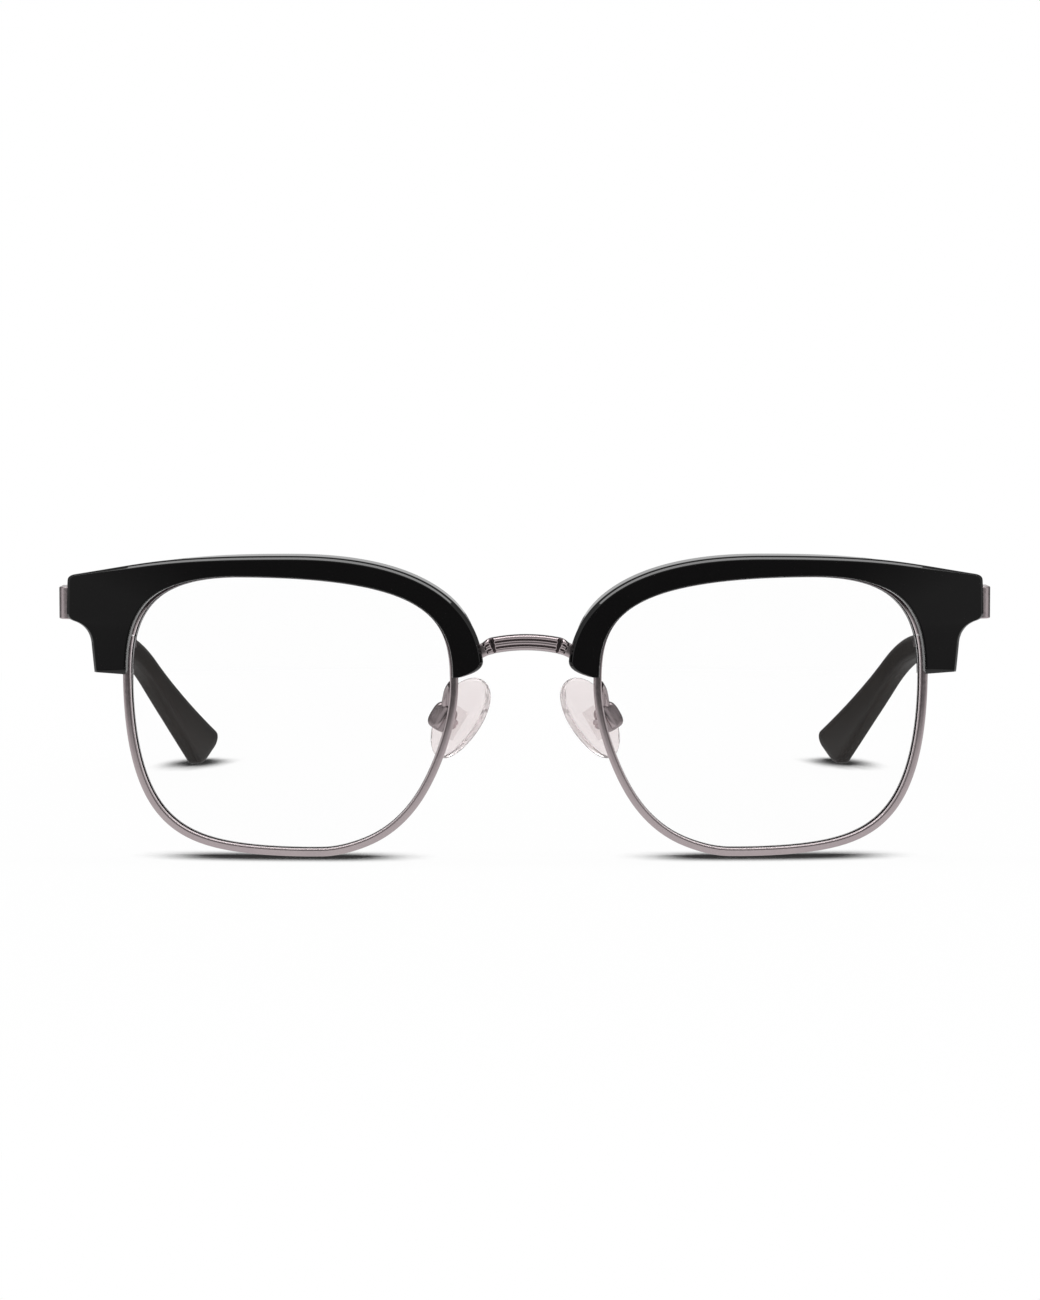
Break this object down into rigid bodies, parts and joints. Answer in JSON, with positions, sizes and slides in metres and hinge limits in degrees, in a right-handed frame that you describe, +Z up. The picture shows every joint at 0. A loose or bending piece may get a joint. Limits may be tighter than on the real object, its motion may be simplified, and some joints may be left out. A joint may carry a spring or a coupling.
{
  "type": "half rim eyeglasses",
  "caption": "Browline eyeglasses: black brows over metal rims, clear lenses, ribbed bridge, rocking nose pads and folding metal temples with dark tips.",
  "frame": {"origin": "centre of the bounding box's foot: on the table, in the mirror plane, midway between the brows' front and the temple tips' ends", "axes": "+Z up, +X to the right as seen from the front, +Y from the front back along the temples"},
  "size_m": [0.147, 0.152, 0.0466],
  "materials": {
    "black_acetate": "polished black acetate",
    "gunmetal": "satin gunmetal plating with a faint mauve tint",
    "clear_lens": "clear resin lens, polished",
    "clear_silicone": "clear silicone, slightly milky",
    "clear_insert": "clear moulded insert, seen through the pad",
    "satin_acetate": "satin charcoal acetate"
  },
  "bodies": {
    "front": {"brow_left": "black_acetate", "brow_right": "black_acetate", "rim_left": "gunmetal", "rim_right": "gunmetal", "lens_left": "clear_lens", "lens_right": "clear_lens", "bridge": "gunmetal", "block_upper_left": "gunmetal", "block_upper_right": "gunmetal", "block_lower_left": "gunmetal", "block_lower_right": "gunmetal", "rim_lock_screws": "gunmetal", "end_piece_left": "gunmetal", "end_piece_right": "gunmetal", "brow_screws": "gunmetal", "hinge_front_left": "gunmetal", "hinge_front_right": "gunmetal", "hinge_screw_left": "gunmetal", "hinge_screw_right": "gunmetal", "pad_arm_left": "gunmetal", "pad_arm_right": "gunmetal", "pad_box_left": "gunmetal", "pad_box_right": "gunmetal", "pad_screws": "gunmetal"},
    "temple_left": {"hinge_temple_left": "gunmetal", "temple_bar_left": "gunmetal", "temple_tip_left": "satin_acetate"},
    "temple_right": {"hinge_temple_right": "gunmetal", "temple_bar_right": "gunmetal", "temple_tip_right": "satin_acetate"},
    "pad_left": {"pad_core_left": "clear_insert", "nose_pad_left": "clear_silicone"},
    "pad_right": {"pad_core_right": "clear_insert", "nose_pad_right": "clear_silicone"}
  },
  "joints": [
    {"name": "temple_left_fold", "type": "hinge", "parent": "front", "child": "temple_left", "pos_m": [-0.07008, -0.05894, 0.03871], "axis": [0, 0, -1], "range_deg": [0, 88]},
    {"name": "temple_right_fold", "type": "hinge", "parent": "front", "child": "temple_right", "pos_m": [0.07008, -0.05894, 0.03871], "axis": [0, 0, 1], "range_deg": [0, 84]},
    {"name": "pad_left_rock", "type": "hinge", "parent": "front", "child": "pad_left", "pos_m": [-0.01254, -0.0676, 0.02094], "axis": [-0.6269, 0.682, 0.3767], "range_deg": [-10, 10]},
    {"name": "pad_right_rock", "type": "hinge", "parent": "front", "child": "pad_right", "pos_m": [0.01254, -0.0676, 0.02094], "axis": [0.6269, 0.682, 0.3767], "range_deg": [-10, 10]}
  ]
}
